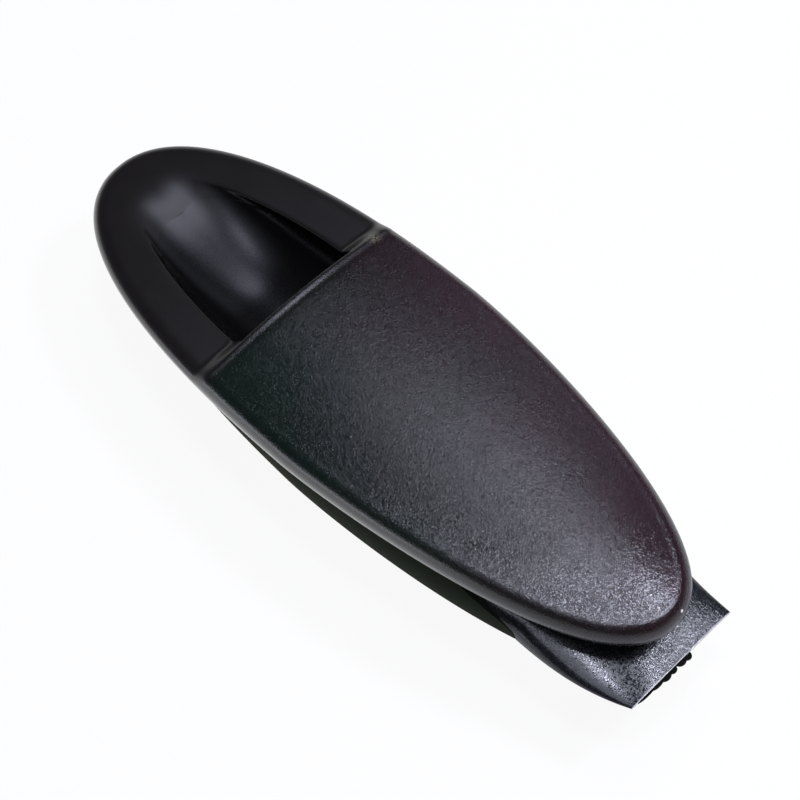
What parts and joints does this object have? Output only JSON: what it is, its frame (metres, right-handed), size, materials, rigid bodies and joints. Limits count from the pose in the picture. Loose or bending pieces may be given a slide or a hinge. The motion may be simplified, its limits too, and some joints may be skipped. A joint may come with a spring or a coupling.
{
  "type": "car door handle",
  "caption": "Black oval pull handle for a car door, with a finger scoop, a flared hinge neck, and a bellcrank behind the skin that pulls the lock rod.",
  "frame": {"origin": "on the door face, midway between the two fixing studs", "axes": "+Z out of the door, +X towards the hinged neck end, +Y across the handle; rest pose is the handle closed, as pictured"},
  "size_m": [0.2052, 0.0702, 0.0477],
  "materials": {
    "grained_plastic": "black moulded plastic with a fine leather-like grain, semi-gloss on the paddle and matt on the rim",
    "smooth_plastic": "smooth black plastic, satin",
    "neck_plastic": "black plastic with the same fine grain, glossier",
    "zinc": "die-cast zinc, dull",
    "plated_steel": "zinc-plated steel",
    "spring_steel": "oiled spring steel",
    "acetal": "natural acetal",
    "crank_plastic": "glass-filled nylon, dark grey",
    "clip_plastic": "moulded nylon, green",
    "rubber": "black moulded rubber",
    "foam": "black closed-cell foam"
  },
  "bodies": {
    "base": {"base_cover": "smooth_plastic", "bracket": "zinc", "door_gasket": "rubber", "base_screws": "plated_steel", "mounting_studs": "plated_steel", "neck_cover": "neck_plastic", "neck_foam": "foam", "neck_screws": "plated_steel", "hinge_pin": "plated_steel", "hinge_clips": "spring_steel", "finger_guide": "acetal", "closing_buffers": "rubber", "crank_pin": "plated_steel", "crank_clips": "spring_steel", "grip_spring": "spring_steel", "crank_spring": "spring_steel"},
    "grip": {"grip_shell": "grained_plastic", "pocket_liner": "smooth_plastic", "grip_carrier": "zinc", "carrier_screws": "plated_steel", "hinge_bushes": "acetal", "finger_sleeve": "rubber"},
    "crank": {"bellcrank": "crank_plastic", "crank_bush": "acetal", "balance_weight": "plated_steel"},
    "clip": {"rod_clip": "clip_plastic"}
  },
  "joints": [
    {"name": "grip_pull", "type": "hinge", "parent": "base", "child": "grip", "pos_m": [0.09, 0, -0.004], "axis": [0, 1, 0], "range_deg": [0, 12], "stiffness_Nm_per_rad": 0.6, "springref_deg": -20.05, "deforming": ["grip_spring"]},
    {"name": "crank_turn", "type": "hinge", "parent": "base", "child": "crank", "pos_m": [0.031, 0, -0.009], "axis": [0, 1, 0], "range_deg": [-27, 0], "stiffness_Nm_per_rad": 0.05, "springref_deg": 28.65, "deforming": ["crank_spring"]},
    {"name": "clip_swivel", "type": "hinge", "parent": "crank", "child": "clip", "pos_m": [0.029, 0, -0.022], "axis": [0, 1, 0], "range_deg": [0, 27]}
  ],
  "couplings": [
    {"joint": "crank_turn", "follows": "grip_pull", "ratio": -2.2},
    {"joint": "clip_swivel", "follows": "grip_pull", "ratio": 2.2}
  ]
}
